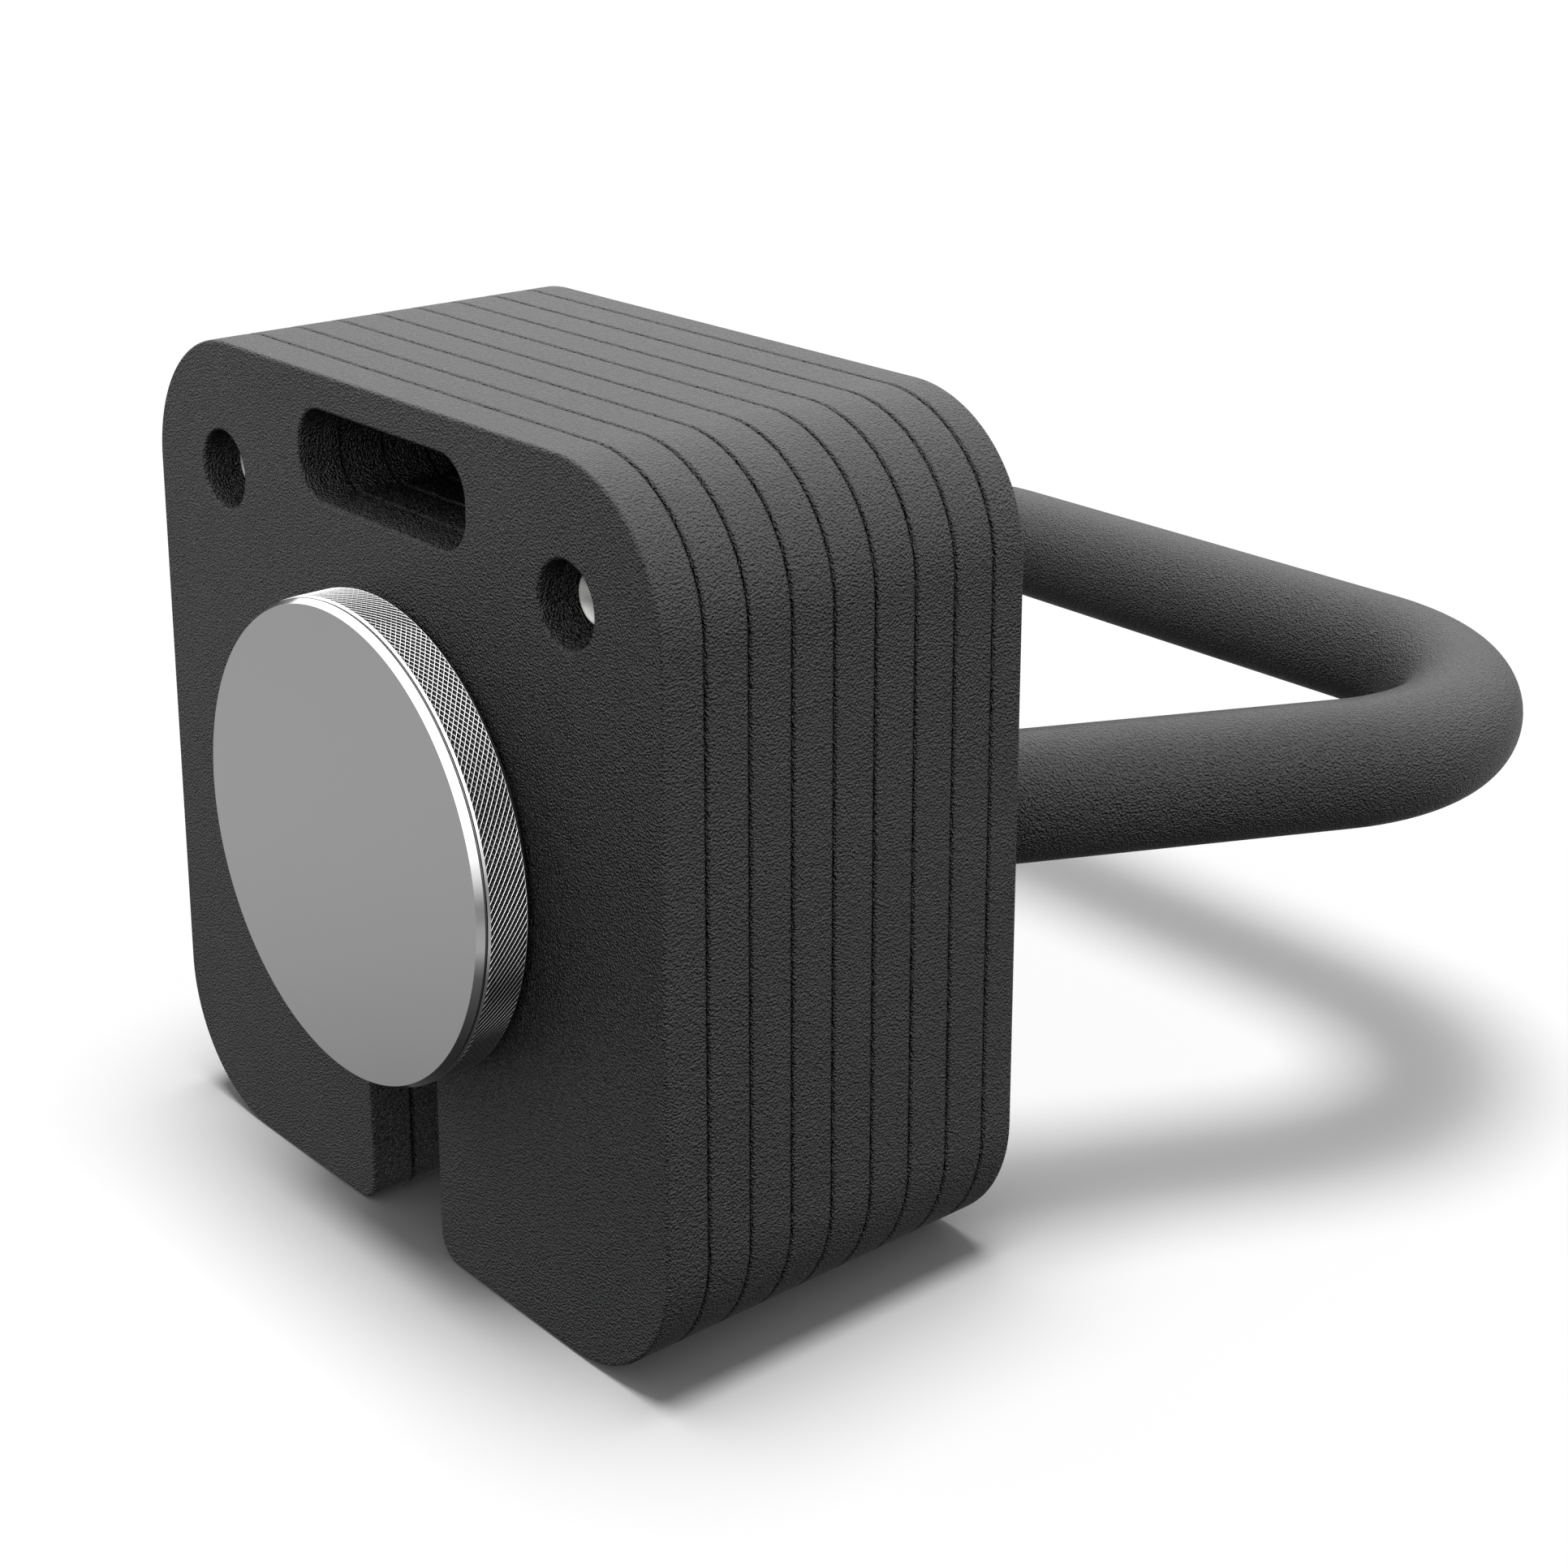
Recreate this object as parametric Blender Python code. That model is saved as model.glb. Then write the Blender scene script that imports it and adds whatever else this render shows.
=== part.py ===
"""Adjustable kettlebell: slotted steel plates clamped between a looped handle frame and a knurled knob.

Units are metres. X runs across the plates, Y along the clamping screw with the handle at +Y, and Z is up.
The kettlebell lies as it is stored, on the lower edges of its plates. The origin is on the ground, under
the middle of the overall length.
"""

import math

import bmesh
import bpy
from mathutils import Matrix, Vector

# Plates
PLATE_COUNT = 8
PLATE_WIDTH = 0.180
PLATE_HEIGHT = 0.183
PLATE_THICKNESS = 0.0099
CORNER_RADIUS = 0.031
EDGE_CHAMFER = 0.0006
SLOT_WIDTH = 0.0255
SLOT_FOOT_RADIUS = 0.006
HOLE_RADIUS = 0.0072
HOLE_STEP_RADIUS = 0.0085
HOLE_STEP_DEPTH = 0.0053
HOLE_X = 0.0619
HOLE_Z = 0.1546
WINDOW_WIDTH = 0.060
WINDOW_HEIGHT = 0.0192
WINDOW_RADIUS = 0.0082
WINDOW_Z = 0.1656

# Handle frame
BASE_THICKNESS = 0.008
BAR_RADIUS = 0.014
GRIP_REACH = 0.1531
LEG_FOOT_X = 0.0603
LEG_CORNER_X = 0.135
BEND_RADIUS = 0.0462
WELD_HEIGHT = 0.006
WELD_WIDTH = 0.005

# Guide pins, the plugs in front of them, and the pins' screws
PIN_RADIUS = 0.0069
PIN_NOSE_RADIUS = 0.0052
PIN_NOSE_LENGTH = 0.0012
PIN_INSET = 0.001
PLUG_DEPTH = 0.0069
PIN_SCREW_RADIUS = 0.004
PIN_SCREW_LENGTH = 0.022
PIN_SCREW_HEAD_RADIUS = 0.0078
PIN_SCREW_SOCKET_RADIUS = 0.0029
PIN_SCREW_SOCKET_DEPTH = 0.0035

# Clamping screw and nut
SPINDLE_RADIUS = 0.012
SPINDLE_CHAMFER = 0.002
SPINDLE_OVERHANG = 0.003
NUT_ACROSS_FLATS = 0.036
NUT_HEIGHT = 0.019
NUT_WELD_RADIUS = 0.0245

# Knob
KNOB_RADIUS = 0.0506
KNOB_STANDOFF = 0.0132
WASHER_THICKNESS = 0.0012
WASHER_RADIUS = 0.0488
CAP_THICKNESS = 0.0020
CAP_RADIUS = 0.0504
CAP_CHAMFER = 0.0014
KNOB_EDGE_CHAMFER = 0.0005
KNOB_BOLT_RADIUS = 0.005
KNOB_BOLT_LENGTH = 0.020
KNOB_BOLT_HEAD_RADIUS = 0.008
KNOB_BOLT_HEAD_HEIGHT = 0.0028
KNOB_BOLT_SOCKET_RADIUS = 0.0033
SPINDLE_SEAT_DEPTH = 0.002

# Clearance between pieces that touch, and how far a cutter runs past a face
GAP = 0.0003
CUT_MARGIN = 0.002

# Segments of a full circle
FINE_CIRCLE = 48
COARSE_CIRCLE = 24

# Segments of each arc in the plates' outlines and in the handle's bends
CORNER_STEPS = 6
SLOT_FOOT_STEPS = 3
SLOT_END_STEPS = 12
WINDOW_CORNER_STEPS = 5
BEND_STEPS = 12

# Derived places
PLATE_PITCH = PLATE_THICKNESS + GAP
STACK_DEPTH = PLATE_COUNT * PLATE_PITCH
AXIS_Z = PLATE_HEIGHT / 2
OVERALL_LENGTH = KNOB_STANDOFF + STACK_DEPTH + BASE_THICKNESS + GRIP_REACH + BAR_RADIUS
FRONT_Y = KNOB_STANDOFF - OVERALL_LENGTH / 2
BASE_FRONT_Y = FRONT_Y + STACK_DEPTH
BASE_BACK_Y = BASE_FRONT_Y + BASE_THICKNESS
NUT_FRONT_Y = BASE_BACK_Y + GAP
NUT_BACK_Y = NUT_FRONT_Y + NUT_HEIGHT
KNOB_FACE_Y = FRONT_Y - KNOB_STANDOFF
KNOB_FRONT_Y = KNOB_FACE_Y + CAP_THICKNESS + GAP
KNOB_BACK_Y = FRONT_Y - 2 * GAP - WASHER_THICKNESS
SPINDLE_FRONT_Y = KNOB_BACK_Y - SPINDLE_SEAT_DEPTH
SPINDLE_BACK_Y = NUT_BACK_Y + SPINDLE_OVERHANG

# Material table: name, colour, metallic, roughness
POWDER_COAT = ("powder_coat", (0.028, 0.028, 0.029), 0.0, 0.55)
CHROME = ("chrome", (0.60, 0.60, 0.60), 1.0, 0.12)
BRIGHT_STEEL = ("bright_steel", (0.52, 0.52, 0.51), 1.0, 0.28)
ZINC_STEEL = ("zinc_steel", (0.42, 0.42, 0.43), 1.0, 0.38)
BLACK_POLYMER = ("black_polymer", (0.020, 0.020, 0.021), 0.0, 0.50)


def clear_scene():
    """Remove every object that the startup scene holds."""
    for item in list(bpy.data.objects):
        bpy.data.objects.remove(item, do_unlink=True)


def make_collection(name, hidden=False):
    """A collection in the scene; a hidden one holds cutters."""
    group = bpy.data.collections.new(name)
    group.hide_render = hidden
    bpy.context.scene.collection.children.link(group)
    return group


def material(finish):
    """One plain Principled material per finish, made the first time that it is asked for."""
    name, colour, metallic, roughness = finish
    found = bpy.data.materials.get(name)
    if found:
        return found
    made = bpy.data.materials.new(name)
    made.use_nodes = True
    shader = made.node_tree.nodes["Principled BSDF"]
    shader.inputs["Base Color"].default_value = (*colour, 1.0)
    shader.inputs["Metallic"].default_value = metallic
    shader.inputs["Roughness"].default_value = roughness
    return made


def add_object(name, data, group, finish=None, location=(0.0, 0.0, 0.0)):
    """Link data to the scene as an object of this name, with its finish and place."""
    item = bpy.data.objects.new(name, data)
    item.location = location
    group.objects.link(item)
    if finish:
        data.materials.clear()
        data.materials.append(material(finish))
    return item


def as_cutter(item):
    """Mark a helper object that only cuts other pieces."""
    item.hide_render = True
    item.display_type = "WIRE"
    return item


def cut(item, cutter):
    """Take the cutter's shape out of an object."""
    tool = item.modifiers.new("cut_" + cutter.name, "BOOLEAN")
    tool.operation = "DIFFERENCE"
    tool.solver = "EXACT"
    tool.object = cutter


def arc(centre_x, centre_z, radius, start_deg, end_deg, segments):
    """Points along an arc in the plate's plane, both ends included."""
    points = []
    for step in range(segments + 1):
        angle = math.radians(start_deg + (end_deg - start_deg) * step / segments)
        points.append((centre_x + radius * math.cos(angle), centre_z + radius * math.sin(angle)))
    return points


def plate_outline(slotted):
    """The rounded outline, anticlockwise from the lower right corner, with the slot up to the screw axis."""
    side = PLATE_WIDTH / 2 - CORNER_RADIUS
    top = PLATE_HEIGHT - CORNER_RADIUS
    points = arc(side, CORNER_RADIUS, CORNER_RADIUS, -90, 0, CORNER_STEPS)
    points += arc(side, top, CORNER_RADIUS, 0, 90, CORNER_STEPS)
    points += arc(-side, top, CORNER_RADIUS, 90, 180, CORNER_STEPS)
    points += arc(-side, CORNER_RADIUS, CORNER_RADIUS, 180, 270, CORNER_STEPS)
    if slotted:
        half = SLOT_WIDTH / 2
        foot = half + SLOT_FOOT_RADIUS
        points += arc(-foot, SLOT_FOOT_RADIUS, SLOT_FOOT_RADIUS, -90, 0, SLOT_FOOT_STEPS)
        points += arc(0.0, AXIS_Z, half, 180, 0, SLOT_END_STEPS)
        points += arc(foot, SLOT_FOOT_RADIUS, SLOT_FOOT_RADIUS, 180, 270, SLOT_FOOT_STEPS)
    return points


def window_outline():
    """The finger window's rounded rectangle."""
    side = WINDOW_WIDTH / 2 - WINDOW_RADIUS
    rise = WINDOW_HEIGHT / 2 - WINDOW_RADIUS
    points = []
    for quarter, (sign_x, sign_z) in enumerate(((1, 1), (-1, 1), (-1, -1), (1, -1))):
        corner = (sign_x * side, WINDOW_Z + sign_z * rise)
        points += arc(*corner, WINDOW_RADIUS, 90 * quarter, 90 * quarter + 90, WINDOW_CORNER_STEPS)
    return points


def circle_outline(centre_x, centre_z, radius):
    """A closed circle without the repeated last point.

    It starts half a segment round, so that its corners stay clear of those of a turned cutter on the same line.
    """
    start = 180 / COARSE_CIRCLE
    return arc(centre_x, centre_z, radius, start, start + 360, COARSE_CIRCLE)[:-1]


def flat_curve(name, outlines, thickness, chamfer):
    """A filled 2D curve with chamfered edges. Its own X and Y become X and Z when it is stood up."""
    curve = bpy.data.curves.new(name, "CURVE")
    curve.dimensions = "2D"
    curve.fill_mode = "BOTH"
    curve.extrude = thickness / 2 - chamfer
    curve.bevel_depth = chamfer
    curve.bevel_resolution = 0
    curve.offset = -chamfer
    for outline in outlines:
        spline = curve.splines.new("POLY")
        spline.points.add(len(outline) - 1)
        for point, (x, z) in zip(spline.points, outline):
            point.co = (x, z, 0.0, 1.0)
        spline.use_cyclic_u = True
    return curve


def curve_to_mesh(name, curve):
    """The curve's evaluated shape as one closed mesh."""
    holder = bpy.data.objects.new(name + "_curve", curve)
    bpy.context.scene.collection.objects.link(holder)
    bpy.context.view_layer.update()
    graph = bpy.context.evaluated_depsgraph_get()
    mesh = bpy.data.meshes.new_from_object(holder.evaluated_get(graph))
    mesh.name = name
    edit = bmesh.new()
    edit.from_mesh(mesh)
    bmesh.ops.remove_doubles(edit, verts=edit.verts, dist=0.00001)
    bmesh.ops.recalc_face_normals(edit, faces=edit.faces)
    edit.to_mesh(mesh)
    edit.free()
    bpy.data.objects.remove(holder, do_unlink=True)
    return mesh


def shade_round(mesh):
    """Smooth shading that keeps the hard edges."""
    mesh.shade_smooth()
    mesh.set_sharp_from_angle(angle=math.radians(35))


def turned(name, profile, group, finish=None, location=(0.0, 0.0, 0.0), segments=FINE_CIRCLE):
    """A solid of revolution about a line along Y.

    The profile is a list of (radius, y) points. It starts and ends on the line, or goes round a ring's section.
    """
    edit = bmesh.new()
    verts = [edit.verts.new((radius, y, 0.0)) for radius, y in profile]
    edges = [edit.edges.new(ends) for ends in zip(verts, verts[1:])]
    if profile[0][0] > 0.0:
        edges.append(edit.edges.new((verts[-1], verts[0])))
    bmesh.ops.spin(
        edit,
        geom=verts + edges,
        cent=(0.0, 0.0, 0.0),
        axis=(0.0, 1.0, 0.0),
        angle=math.radians(360),
        steps=segments,
        use_merge=True,
    )
    bmesh.ops.remove_doubles(edit, verts=edit.verts, dist=0.00001)
    bmesh.ops.recalc_face_normals(edit, faces=edit.faces)
    mesh = bpy.data.meshes.new(name)
    edit.to_mesh(mesh)
    edit.free()
    shade_round(mesh)
    return add_object(name, mesh, group, finish, location)


def cone_mesh(name, first_radius, second_radius, depth, sides, matrix):
    """A capped cone, cylinder or prism along its own Z, put in place by the matrix."""
    mesh = bpy.data.meshes.new(name)
    edit = bmesh.new()
    bmesh.ops.create_cone(
        edit,
        cap_ends=True,
        segments=sides,
        radius1=first_radius,
        radius2=second_radius,
        depth=depth,
        matrix=matrix,
    )
    edit.to_mesh(mesh)
    edit.free()
    shade_round(mesh)
    return mesh


def prism(name, radius, depth, sides, group, finish=None, location=(0.0, 0.0, 0.0)):
    """A regular prism along Y, centred on its location, with its first corner towards +X."""
    turn = Matrix.Rotation(math.radians(90), 4, "X") @ Matrix.Rotation(math.radians(90), 4, "Z")
    return add_object(name, cone_mesh(name, radius, radius, depth, sides, turn), group, finish, location)


def cutter_rod(name, radius, start_y, end_y, location=(0.0, 0.0, 0.0), sides=FINE_CIRCLE):
    """A cutter in the shape of a round or six-sided rod between two places along Y."""
    middle = Vector(location) + Vector((0.0, (start_y + end_y) / 2, 0.0))
    return as_cutter(prism(name, radius, end_y - start_y, sides, CUTTERS, location=middle))


def plate_mesh(name, outlines, thickness):
    """A flat plate stood upright, with chamfered edges, centred on Y = 0."""
    mesh = curve_to_mesh(name, flat_curve(name, outlines, thickness, EDGE_CHAMFER))
    mesh.transform(Matrix.Rotation(math.radians(90), 4, "X"))
    return mesh


def make_hole_steps():
    """One cutter for each column of holes, which widens the front part of every plate's hole."""
    cutters = []
    for side, sign in (("left", -1), ("right", 1)):
        core = HOLE_RADIUS / 2
        rim = HOLE_STEP_RADIUS + EDGE_CHAMFER + GAP / 2
        profile = [(0.0, FRONT_Y - CUT_MARGIN)]
        for index in range(PLATE_COUNT):
            front = FRONT_Y + index * PLATE_PITCH
            profile += [
                (core, front - GAP / 2),
                (rim, front - GAP / 2),
                (HOLE_STEP_RADIUS, front + EDGE_CHAMFER),
                (HOLE_STEP_RADIUS, front + HOLE_STEP_DEPTH),
                (core, front + HOLE_STEP_DEPTH),
            ]
        profile.append((0.0, profile[-1][1]))
        place = (sign * HOLE_X, 0.0, HOLE_Z)
        cutters.append(as_cutter(turned(f"hole_steps_{side}", profile, CUTTERS, None, place, COARSE_CIRCLE)))
    return cutters


def make_plates(kettlebell):
    """Eight identical plates, each its own object, numbered from the knob to the base."""
    outlines = [
        plate_outline(slotted=True),
        window_outline(),
        circle_outline(-HOLE_X, HOLE_Z, HOLE_RADIUS),
        circle_outline(HOLE_X, HOLE_Z, HOLE_RADIUS),
    ]
    mesh = plate_mesh("plate", outlines, PLATE_THICKNESS)
    hole_steps = make_hole_steps()
    for index in range(PLATE_COUNT):
        plate = add_object(f"plate_{index + 1}", mesh, kettlebell, POWDER_COAT)
        plate.location.y = FRONT_Y + index * PLATE_PITCH + PLATE_THICKNESS / 2
        for cutter in hole_steps:
            cut(plate, cutter)


def make_base_plate(kettlebell):
    """The unslotted rear plate, drilled for the clamping screw and countersunk for the pin screws."""
    mesh = plate_mesh("base_plate", [plate_outline(slotted=False)], BASE_THICKNESS)
    base = add_object("base_plate", mesh, kettlebell, POWDER_COAT)
    base.location.y = BASE_FRONT_Y + BASE_THICKNESS / 2
    front = BASE_FRONT_Y - CUT_MARGIN
    back = BASE_BACK_Y + CUT_MARGIN
    cut(base, cutter_rod("screw_bore", SPINDLE_RADIUS + GAP, front, back, (0.0, 0.0, AXIS_Z)))
    for side, sign in (("left", -1), ("right", 1)):
        profile = pin_screw_profile(GAP, back, front)
        place = (sign * HOLE_X, 0.0, HOLE_Z)
        seat = turned(f"countersink_{side}", profile, CUTTERS, None, place, COARSE_CIRCLE)
        cut(base, as_cutter(seat))


def pin_screw_profile(clearance, back_y, front_y):
    """A countersunk screw's outline, from its flat head at the base's back face to its front end."""
    head = PIN_SCREW_HEAD_RADIUS + clearance
    shank = PIN_SCREW_RADIUS + clearance
    head_y = BASE_BACK_Y - GAP
    profile = [(0.0, back_y), (head, back_y)]
    if back_y > head_y:
        profile.append((head, head_y))
    return profile + [(shank, head_y - (head - shank)), (shank, front_y), (0.0, front_y)]


def nose_profile(nose_y):
    """The chamfered front end that a guide pin and a plug share."""
    return [(PIN_RADIUS, nose_y + PIN_NOSE_LENGTH), (PIN_NOSE_RADIUS, nose_y), (0.0, nose_y)]


def make_guide_pins(kettlebell):
    """Two round pins bolted to the base, which end just behind the front plate."""
    back = BASE_FRONT_Y - GAP
    bore = PIN_SCREW_RADIUS + GAP
    bore_end = BASE_BACK_Y - PIN_SCREW_LENGTH - 2 * GAP
    nose = FRONT_Y + PLATE_PITCH + PIN_INSET
    profile = [(0.0, bore_end), (bore, bore_end), (bore, back), (PIN_RADIUS, back)] + nose_profile(nose)
    for side, sign in (("left", -1), ("right", 1)):
        place = (sign * HOLE_X, 0.0, HOLE_Z)
        turned(f"guide_pin_{side}", profile, kettlebell, BRIGHT_STEEL, place, COARSE_CIRCLE)


def make_hole_plugs(kettlebell):
    """A short plug in each hole of the front plate, in line with the guide pin behind it."""
    back = FRONT_Y + PLATE_THICKNESS
    profile = [(0.0, back), (PIN_RADIUS, back)] + nose_profile(FRONT_Y + PLUG_DEPTH)
    for side, sign in (("left", -1), ("right", 1)):
        place = (sign * HOLE_X, 0.0, HOLE_Z)
        turned(f"hole_plug_{side}", profile, kettlebell, BRIGHT_STEEL, place, COARSE_CIRCLE)


def make_pin_screws(kettlebell):
    """Countersunk socket screws that hold the guide pins from behind."""
    head_y = BASE_BACK_Y - GAP
    profile = pin_screw_profile(0.0, head_y, BASE_BACK_Y - PIN_SCREW_LENGTH)
    for side, sign in (("left", -1), ("right", 1)):
        place = (sign * HOLE_X, 0.0, HOLE_Z)
        screw = turned(f"pin_screw_{side}", profile, kettlebell, ZINC_STEEL, place, COARSE_CIRCLE)
        socket = cutter_rod(
            f"pin_screw_socket_{side}",
            PIN_SCREW_SOCKET_RADIUS,
            head_y - PIN_SCREW_SOCKET_DEPTH,
            head_y + CUT_MARGIN,
            place,
            sides=6,
        )
        cut(screw, socket)


def handle_path():
    """The bar's centre line in the horizontal plane, from one foot round the grip to the other.

    Each leg runs straight from its foot towards the corner point, and a round bend turns it into the grip.
    """
    foot = Vector((LEG_FOOT_X, 0.0))
    corner = Vector((LEG_CORNER_X, GRIP_REACH))
    along_leg = (foot - corner).normalized()
    along_grip = Vector((-1.0, 0.0))
    half_angle = along_leg.angle(along_grip) / 2
    setback = BEND_RADIUS / math.tan(half_angle)
    bend_start = corner + along_leg * setback
    centre = Vector((corner.x - setback, GRIP_REACH - BEND_RADIUS))
    first = math.atan2(*(bend_start - centre).yx)
    right = []
    for step in range(BEND_STEPS + 1):
        angle = first + (math.pi / 2 - first) * step / BEND_STEPS
        right.append(centre + BEND_RADIUS * Vector((math.cos(angle), math.sin(angle))))
    # The leg is made longer than it stands, and is cut off flush with the base afterwards.
    right.insert(0, foot + along_leg * 2 * BAR_RADIUS)
    left = [Vector((-point.x, point.y)) for point in reversed(right)]
    return right + left


def leg_direction():
    """Unit vector along the right leg, from its foot towards the grip."""
    return Vector((LEG_CORNER_X - LEG_FOOT_X, GRIP_REACH, 0.0)).normalized()


def make_handle(kettlebell):
    """A round bar bent to a loop, cut off flush with the base plate's back face."""
    curve = bpy.data.curves.new("handle", "CURVE")
    curve.dimensions = "3D"
    curve.bevel_depth = BAR_RADIUS
    curve.bevel_resolution = 6
    curve.use_fill_caps = True
    path = handle_path()
    spline = curve.splines.new("POLY")
    spline.points.add(len(path) - 1)
    for point, place in zip(spline.points, path):
        point.co = (place.x, BASE_BACK_Y + place.y, AXIS_Z, 1.0)
    mesh = curve_to_mesh("handle", curve)
    shade_round(mesh)
    handle = add_object("handle", mesh, kettlebell, POWDER_COAT)
    block = bpy.data.meshes.new("foot_trim")
    edit = bmesh.new()
    depth = 4 * BAR_RADIUS
    size = Matrix.Diagonal((PLATE_WIDTH * 1.5, depth, PLATE_HEIGHT / 2, 1.0))
    bmesh.ops.create_cube(edit, size=1.0, matrix=size)
    edit.to_mesh(block)
    edit.free()
    place = (0.0, BASE_BACK_Y + GAP - depth / 2, AXIS_Z)
    cut(handle, as_cutter(add_object("foot_trim", block, CUTTERS, location=place)))


def make_handle_welds(kettlebell):
    """A fillet weld round each foot: a cone that leans with the leg, bored for it."""
    direction = leg_direction()
    lean = direction.x / direction.y
    along_y = Matrix.Rotation(math.radians(-90), 4, "X")
    foot_radius = BAR_RADIUS + WELD_WIDTH
    top_radius = BAR_RADIUS + 3 * GAP
    bore_radius = BAR_RADIUS + GAP
    for side, sign in (("left", -1), ("right", 1)):
        shear = Matrix.Identity(4)
        shear[0][0] = 1.0 / direction.y
        shear[0][1] = sign * lean
        middle_x = sign * (LEG_FOOT_X + lean * (GAP + WELD_HEIGHT / 2))
        place = (middle_x, BASE_BACK_Y + GAP + WELD_HEIGHT / 2, AXIS_Z)
        name = f"handle_weld_{side}"
        mesh = cone_mesh(name, foot_radius, top_radius, WELD_HEIGHT, COARSE_CIRCLE, shear @ along_y)
        weld = add_object(name, mesh, kettlebell, POWDER_COAT, place)
        name = f"weld_bore_{side}"
        aim = Vector((sign * direction.x, direction.y, 0.0)).to_track_quat("Z", "Y").to_matrix().to_4x4()
        mesh = cone_mesh(name, bore_radius, bore_radius, 6 * WELD_HEIGHT, COARSE_CIRCLE, aim)
        cut(weld, as_cutter(add_object(name, mesh, CUTTERS, location=place)))


def make_spindle_nut(kettlebell):
    """The hexagon nut behind the base plate that the clamping screw runs in, and the weld that holds it."""
    corner_radius = NUT_ACROSS_FLATS / 2 / math.cos(math.radians(30))
    place = (0.0, (NUT_FRONT_Y + NUT_BACK_Y) / 2, AXIS_Z)
    nut = prism("spindle_nut", corner_radius, NUT_HEIGHT, 6, kettlebell, ZINC_STEEL, place)
    bore = cutter_rod(
        "nut_bore",
        SPINDLE_RADIUS + GAP,
        NUT_FRONT_Y - CUT_MARGIN,
        NUT_BACK_Y + CUT_MARGIN,
        (0.0, 0.0, AXIS_Z),
    )
    cut(nut, bore)
    inner = corner_radius + GAP
    profile = [
        (inner, NUT_FRONT_Y + NUT_WELD_RADIUS - inner),
        (NUT_WELD_RADIUS, NUT_FRONT_Y),
        (inner, NUT_FRONT_Y),
    ]
    turned("nut_weld", profile, kettlebell, POWDER_COAT, (0.0, 0.0, AXIS_Z), COARSE_CIRCLE)


def make_thrust_washer(kettlebell):
    """The flat friction washer between the knob and the first plate."""
    back = FRONT_Y - GAP
    front = back - WASHER_THICKNESS
    bore = SPINDLE_RADIUS + GAP
    profile = [(bore, back), (WASHER_RADIUS, back), (WASHER_RADIUS, front), (bore, front)]
    turned("thrust_washer", profile, kettlebell, BLACK_POLYMER, (0.0, 0.0, AXIS_Z))


def make_knob(kettlebell):
    """The knurled knob body, its polished cap, the clamping screw and the bolt that holds the screw."""
    place = (0.0, 0.0, AXIS_Z)
    hole = KNOB_BOLT_RADIUS + GAP
    seat = SPINDLE_RADIUS + GAP
    seat_y = SPINDLE_FRONT_Y - GAP
    head_bore = KNOB_BOLT_HEAD_RADIUS + GAP
    head_seat_y = KNOB_FRONT_Y + KNOB_BOLT_HEAD_HEIGHT + 2 * GAP
    body = [
        (seat, KNOB_BACK_Y),
        (KNOB_RADIUS - KNOB_EDGE_CHAMFER, KNOB_BACK_Y),
        (KNOB_RADIUS, KNOB_BACK_Y - KNOB_EDGE_CHAMFER),
        (KNOB_RADIUS, KNOB_FRONT_Y + KNOB_EDGE_CHAMFER),
        (KNOB_RADIUS - KNOB_EDGE_CHAMFER, KNOB_FRONT_Y),
        (head_bore, KNOB_FRONT_Y),
        (head_bore, head_seat_y),
        (hole, head_seat_y),
        (hole, seat_y),
        (seat, seat_y),
    ]
    turned("knob_body", body, kettlebell, CHROME, place)
    cap_back = KNOB_FACE_Y + CAP_THICKNESS
    cap = [
        (0.0, cap_back),
        (CAP_RADIUS, cap_back),
        (CAP_RADIUS, KNOB_FACE_Y + CAP_CHAMFER),
        (CAP_RADIUS - CAP_CHAMFER, KNOB_FACE_Y),
        (0.0, KNOB_FACE_Y),
    ]
    turned("knob_cap", cap, kettlebell, CHROME, place)
    bolt_head_y = KNOB_FRONT_Y + GAP
    bolt_seat_y = bolt_head_y + KNOB_BOLT_HEAD_HEIGHT
    bolt_end_y = bolt_seat_y + KNOB_BOLT_LENGTH
    bolt = [
        (0.0, bolt_end_y),
        (KNOB_BOLT_RADIUS, bolt_end_y),
        (KNOB_BOLT_RADIUS, bolt_seat_y),
        (KNOB_BOLT_HEAD_RADIUS, bolt_seat_y),
        (KNOB_BOLT_HEAD_RADIUS, bolt_head_y),
        (0.0, bolt_head_y),
    ]
    knob_bolt = turned("knob_bolt", bolt, kettlebell, ZINC_STEEL, place, COARSE_CIRCLE)
    socket = cutter_rod(
        "knob_bolt_socket",
        KNOB_BOLT_SOCKET_RADIUS,
        bolt_head_y - CUT_MARGIN,
        bolt_head_y + KNOB_BOLT_HEAD_HEIGHT - 3 * GAP,
        place,
        sides=6,
    )
    cut(knob_bolt, socket)
    bore_end_y = bolt_end_y + 2 * GAP
    spindle = [
        (0.0, SPINDLE_BACK_Y),
        (SPINDLE_RADIUS - SPINDLE_CHAMFER, SPINDLE_BACK_Y),
        (SPINDLE_RADIUS, SPINDLE_BACK_Y - SPINDLE_CHAMFER),
        (SPINDLE_RADIUS, SPINDLE_FRONT_Y),
        (hole, SPINDLE_FRONT_Y),
        (hole, bore_end_y),
        (0.0, bore_end_y),
    ]
    turned("spindle", spindle, kettlebell, BRIGHT_STEEL, place)


clear_scene()
KETTLEBELL = make_collection("kettlebell")
CUTTERS = make_collection("cutters", hidden=True)
make_plates(KETTLEBELL)
make_base_plate(KETTLEBELL)
make_guide_pins(KETTLEBELL)
make_hole_plugs(KETTLEBELL)
make_pin_screws(KETTLEBELL)
make_handle(KETTLEBELL)
make_handle_welds(KETTLEBELL)
make_spindle_nut(KETTLEBELL)
make_thrust_washer(KETTLEBELL)
make_knob(KETTLEBELL)
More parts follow.
